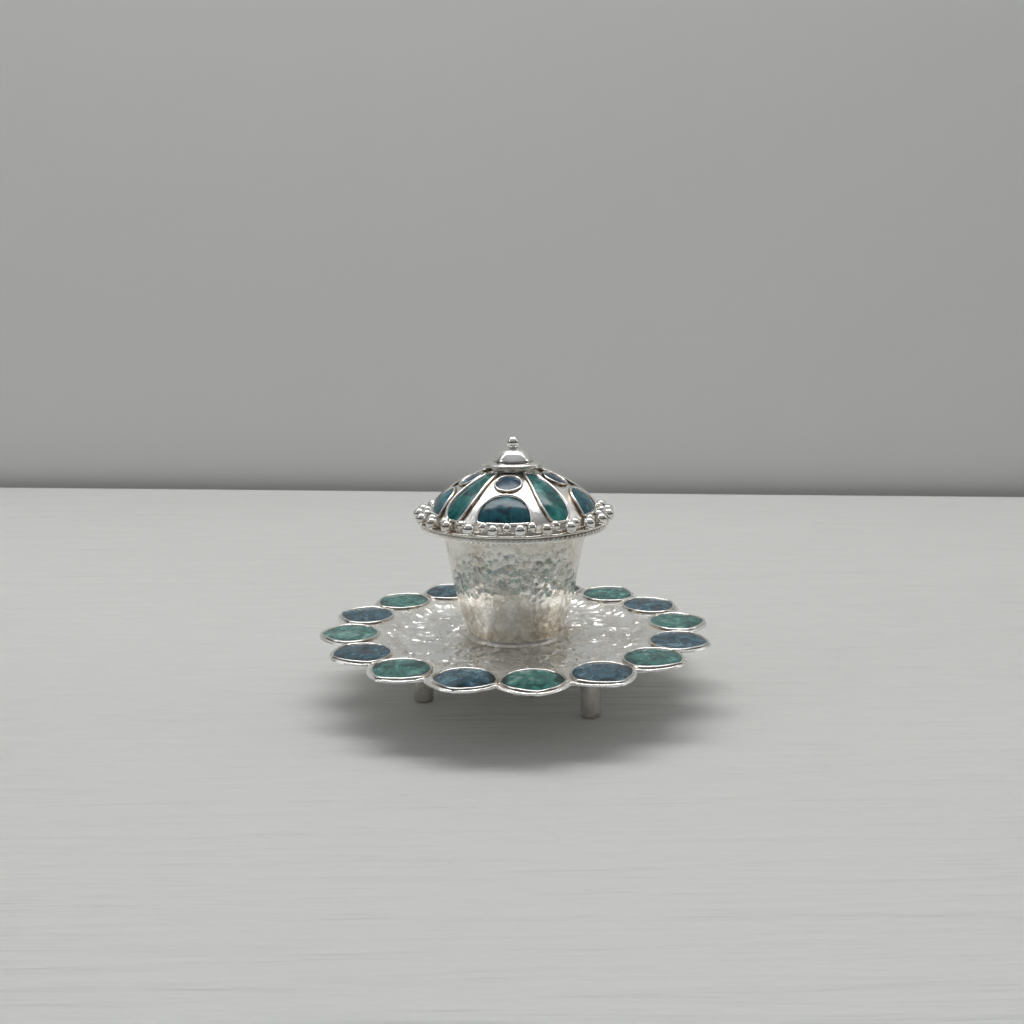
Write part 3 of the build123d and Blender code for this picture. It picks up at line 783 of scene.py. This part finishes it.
def lid_cell(points, centre, azimuths, label, mat, wall_node, enamel_node, wall_w=0.50, wall_h=0.50, crown=0.14):
    W, E = Parts(), Parts()
    base = ccw(resample(points, 128, closed=True))
    n = len(base)
    for az in azimuths:
        jig = np.random.default_rng(int(az * 10) % 997 + 3)
        sc = jig.uniform(0.97, 1.03, 2)
        cen = np.array(centre)
        P = cen + (base - cen) * sc
        X, Y = place(P[:, 0], P[:, 1], az)
        S, N = dome_frame(X, Y)
        tan = np.roll(S, -1, 0) - np.roll(S, 1, 0)
        tan /= np.linalg.norm(tan, axis=1)[:, None]
        out = np.cross(tan, N)
        out = out + 0.5 * (np.roll(out, 1, 0) + np.roll(out, -1, 0))
        out /= np.linalg.norm(out, axis=1)[:, None]
        cx, cy = place(cen[0], cen[1], az)
        cS, cN = dome_frame(np.array([cx]), np.array([cy]))
        if ((S - cS) * out).sum() < 0:
            out = -out
        rings = []
        for a in np.linspace(math.pi, 0, 9):
            off = wall_w / 2 + wall_w / 2 * math.cos(a)
            hh = wall_h * math.sin(a) ** 0.8 if 0 < a < math.pi - 1e-6 else -0.12
            rings.append(S + out * off + N * hh)
        rings = np.array(rings)
        rings += 0.012 * value_noise(rings[..., 0] / 0.6 + 40, rings[..., 1] / 0.6 + 40, 91)[..., None] * N[None]
        # painted shade at both feet of the wall, most on the outer side
        W.add(rings.reshape(-1, 3), grid_faces(9, n, wrap_rows=True, flip=True).tolist(),
              np.repeat((0.5, 0.2, 0, 0, 0, 0.05, 0.25, 0.6, 0.8), n))
        er, RN, dark = [], 10, []
        for i in range(1, RN + 1):
            q = i / RN
            # painted shade: darker towards the rim of the cell, next to the walls
            dark.append(np.full(n, 0.34 * q ** 4))
            Q = cen + (P - cen) * q * 1.015
            x, y = place(Q[:, 0], Q[:, 1], az)
            s_, n_ = dome_frame(x, y)
            h = 0.20 + crown * (1 - q ** 2.4) + 0.025 * value_noise(x / 1.0 + 30, y / 1.0 + 30, 95)
            er.append(s_ + n_ * h[:, None])
        s_, n_ = dome_frame(x, y)
        er.append(s_ - n_ * 0.10)
        vv = np.concatenate(er)
        ff = grid_faces(len(er), n, flip=True).tolist()
        nn = len(vv)
        vv = np.vstack([vv, cS + cN * (0.20 + crown), cS - cN * 0.10])
        lastr = (len(er) - 1) * n
        for j in range(n):
            j2 = (j + 1) % n
            ff.append([nn, j, j2])
            ff.append([nn + 1, lastr + j2, lastr + j])
        E.add(vv, ff, np.concatenate(dark + [dark[-1], np.zeros(2)]))
    build(label + "_walls", W.verts(), W.f, "lid", m_wall, [wall_node], 70, W.shade())
    build(label + "_enamel", E.verts(), E.f, "lid", mat, [enamel_node], 70, E.shade())


DROP_AZ = (32.0, 106.0, 176.0, 246.0, 314.5)
ARCH_AZ = (-7.0, 72.0, 141.0, 211.0, 281.0)
lid_cell(drop_outline(), (0.0, 9.9), DROP_AZ, "teardrop", m_drop,
         "lid_teardrop_walls", "lid_teardrop_enamel")
lid_cell(arch_outline(), (0.0, 10.6), ARCH_AZ, "arch", m_arch,
         "lid_arch_walls", "lid_arch_enamel")
lid_cell(round_outline(), (0.0, 6.30), ARCH_AZ, "round", m_navy,
         "lid_round_walls", "lid_round_enamel", wall_w=0.44, wall_h=0.44)

# ------------------------------------------------------------------ finial
v, f = lathe(resample(round_corners([(0.60, 34.46), (2.80, 34.46), (3.30, 34.62), (3.30, 35.12), (3.05, 35.30), (0.60, 35.30)],
                                    [0, .1, .15, .15, .1, 0], 4), 48, closed=True), 180, band_noise(0.015, 0.9, 101, 3))
build("neck", v, f, "lid", m_cup, ["finial_neck"], 60)
v, f = lathe(resample(round_corners([(0.60, 35.31), (4.58, 35.40), (4.70, 35.58), (4.62, 35.78), (3.60, 35.88), (2.70, 35.98), (0.60, 35.98)],
                                    [0, .1, .08, .1, .3, .1, 0], 4), 60, closed=True), 200, band_noise(0.02, 1.1, 105, 4))
build("cap", v, f, "lid", m_polish, ["finial_cap"], 60)
v, f = lathe(resample(round_corners([(0.60, 35.96), (3.00, 35.96), (3.05, 36.04), (2.96, 36.28), (2.70, 36.68), (2.32, 37.16), (1.78, 37.58), (1.08, 37.86), (0.60, 37.86)],
                                    [0, .05, .05, .15, .2, .2, .2, .2, 0], 4), 60, closed=True), 160, band_noise(0.015, 0.8, 109, 2))
build("bud", v, f, "lid", m_polish, ["finial_bud"], 60)
ball = [(0, 37.86), (0.52, 37.86), (0.62, 37.93)]
ball += [(0.95 * math.sin(a), 38.65 - 0.95 * math.cos(a)) for a in np.linspace(0.72, math.pi - 0.15, 22)] + [(0, 39.60)]
v, f = solid_lathe(ball, 48)
build("finial_knob", v, f, "lid", m_polish, ["finial_ball"], 60)
hz = float(in_line[-1, 1])
rv = [(0, hz - 0.46), (0.55, hz - 0.45), (0.95, hz - 0.36), (1.18, hz - 0.20), (1.24, hz - 0.02), (0.56, hz), (0.54, 36.0), (0.54, 37.8), (0, 37.88)]
v, f = solid_lathe(rv, 48)
build("rivet", v, f, "lid", m_feet, ["finial_rivet"], 60)

# ------------------------------------------------------------------ stage
def ground_point(px, py):
    """Floor point under a pixel of the 1024 x 1024 view."""
    fpx, Dh, Hc, pitch, roll = 1061.986, 156.66, 58.126, 0.189, 0.014
    u, w = (px - 512) / fpx, (512 - py) / fpx
    c, s_ = math.cos(roll), math.sin(roll)
    xr, yr = u * c + w * s_, -u * s_ + w * c
    d = np.array([xr, math.cos(pitch) + yr * math.sin(pitch), -math.sin(pitch) + yr * math.cos(pitch)])
    return np.array([0, -Dh, Hc]) + d * (Hc / -d[2])


A, B = ground_point(137, 489), ground_point(888, 496)
direc = (B - A) / np.linalg.norm(B - A)
back_l, back_r = A - direc * 900, B + direc * 900
fm = bpy.data.materials.new("floor_mat")
fm.use_nodes = True
nt = fm.node_tree
b = nt.nodes["Principled BSDF"]
b.inputs["Roughness"].default_value = 0.62
tc = nt.nodes.new("ShaderNodeTexCoord")
n1 = noise(nt, tc, 5.0, 4, 0.5)
c1 = ramp(nt, n1.outputs["Fac"], [(0.3, (0.610, 0.614, 0.598)), (0.7, (0.655, 0.659, 0.643))])
nt.links.new(c1.outputs["Color"], b.inputs["Base Color"])
wv = noise(nt, tc, 26.0, 3, 0.55, 0.2, (1.0, 14.0, 1.0))
bp = nt.nodes.new("ShaderNodeBump")
bp.inputs["Strength"].default_value = 0.9
bp.inputs["Distance"].default_value = 0.0010
nt.links.new(wv.outputs["Fac"], bp.inputs["Height"])
nt.links.new(bp.outputs["Normal"], b.inputs["Normal"])
wm = bpy.data.materials.new("backdrop_mat")
wm.use_nodes = True
nt = wm.node_tree
b = nt.nodes["Principled BSDF"]
b.inputs["Roughness"].default_value = 0.85
tc = nt.nodes.new("ShaderNodeTexCoord")
n1 = noise(nt, tc, 2.0, 3, 0.5)
c1 = ramp(nt, n1.outputs["Fac"], [(0.3, (0.73, 0.735, 0.72)), (0.7, (0.77, 0.775, 0.76))])
nt.links.new(c1.outputs["Color"], b.inputs["Base Color"])


def plate(name, pts, mat):
    me = bpy.data.meshes.new(name)
    me.from_pydata([tuple(float(c) * MM for c in p) for p in pts], [], [tuple(range(len(pts)))])
    o = bpy.data.objects.new(name, me)
    bpy.context.scene.collection.objects.link(o)
    me.materials.append(mat)
    return o


plate("floor", [(-1500, -700, 0), (1500, -700, 0), (back_r[0], back_r[1], 0), (back_l[0], back_l[1], 0)], fm)
wall_back = np.array([direc[1], -direc[0], 0]) * -6
plate("backdrop", [(back_l[0] + wall_back[0], back_l[1] + wall_back[1], -40), (back_r[0] + wall_back[0], back_r[1] + wall_back[1], -40),
                   (back_r[0] + wall_back[0], back_r[1] + wall_back[1], 700), (back_l[0] + wall_back[0], back_l[1] + wall_back[1], 700)], wm)

# ------------------------------------------------------------------ light and camera
sc = bpy.context.scene
world = bpy.data.worlds.new("room")
sc.world = world
world.use_nodes = True
wn = world.node_tree
bg = wn.nodes["Background"]
tcw = wn.nodes.new("ShaderNodeTexCoord")
sep = wn.nodes.new("ShaderNodeSeparateXYZ")
wn.links.new(tcw.outputs["Generated"], sep.inputs["Vector"])
mr = wn.nodes.new("ShaderNodeMapRange")
mr.inputs["From Min"].default_value = -0.1
mr.inputs["From Max"].default_value = 0.9
wn.links.new(sep.outputs["Z"], mr.inputs["Value"])
rw = wn.nodes.new("ShaderNodeValToRGB")
rw.color_ramp.elements[0].position = 0.0
rw.color_ramp.elements[0].color = (0.022, 0.021, 0.020, 1)
rw.color_ramp.elements[1].position = 1.0
rw.color_ramp.elements[1].color = (0.42, 0.43, 0.44, 1)
e = rw.color_ramp.elements.new(0.35)
e.color = (0.085, 0.085, 0.083, 1)
wn.links.new(mr.outputs["Result"], rw.inputs["Fac"])
wn.links.new(rw.outputs["Color"], bg.inputs["Color"])
bg.inputs["Strength"].default_value = 1.0


def area(name, loc, target, size, size_y, power, color=(1, 1, 1)):
    l = bpy.data.lights.new(name, "AREA")
    l.shape = "RECTANGLE"
    l.size, l.size_y = size, size_y
    l.energy = power
    l.color = color
    o = bpy.data.objects.new(name, l)
    sc.collection.objects.link(o)
    o.location = loc
    d = Vector(target) - Vector(loc)
    o.rotation_euler = d.to_track_quat("-Z", "Y").to_euler()
    return o


area("softbox_top", (0.01, 0.20, 0.56), (0, 0.0, 0), 0.60, 0.34, 3.5, (1.0, 0.995, 0.98))
area("wall_wash", (0.0, 0.04, 0.40), (0, 0.20, 0.20), 0.90, 0.06, 0.42, (1.0, 1.0, 0.99))
area("softbox_left", (-0.60, -0.12, 0.36), (0, 0, 0.02), 0.16, 0.26, 0.22, (0.97, 0.985, 1.0))
area("softbox_right", (0.64, 0.06, 0.32), (0, 0, 0.02), 0.16, 0.26, 0.26, (1.0, 0.99, 0.97))

cam_data = bpy.data.cameras.new("camera")
cam_data.sensor_width = 36.0
cam_data.lens = 1061.986 / 1024 * 36.0
cam_data.clip_start = 0.005
cam_data.clip_end = 20
cam = bpy.data.objects.new("camera", cam_data)
sc.collection.objects.link(cam)
cam.matrix_world = (Matrix.Translation((-0.0003, -0.15666, 0.058126))
                    @ Matrix.Rotation(math.pi / 2 - 0.189, 4, "X") @ Matrix.Rotation(-0.014, 4, "Z"))
sc.camera = cam
sc.view_settings.view_transform = "Standard"
sc.view_settings.look = "None"
sc.view_settings.exposure = 0.0

bpy.context.view_layer.update()
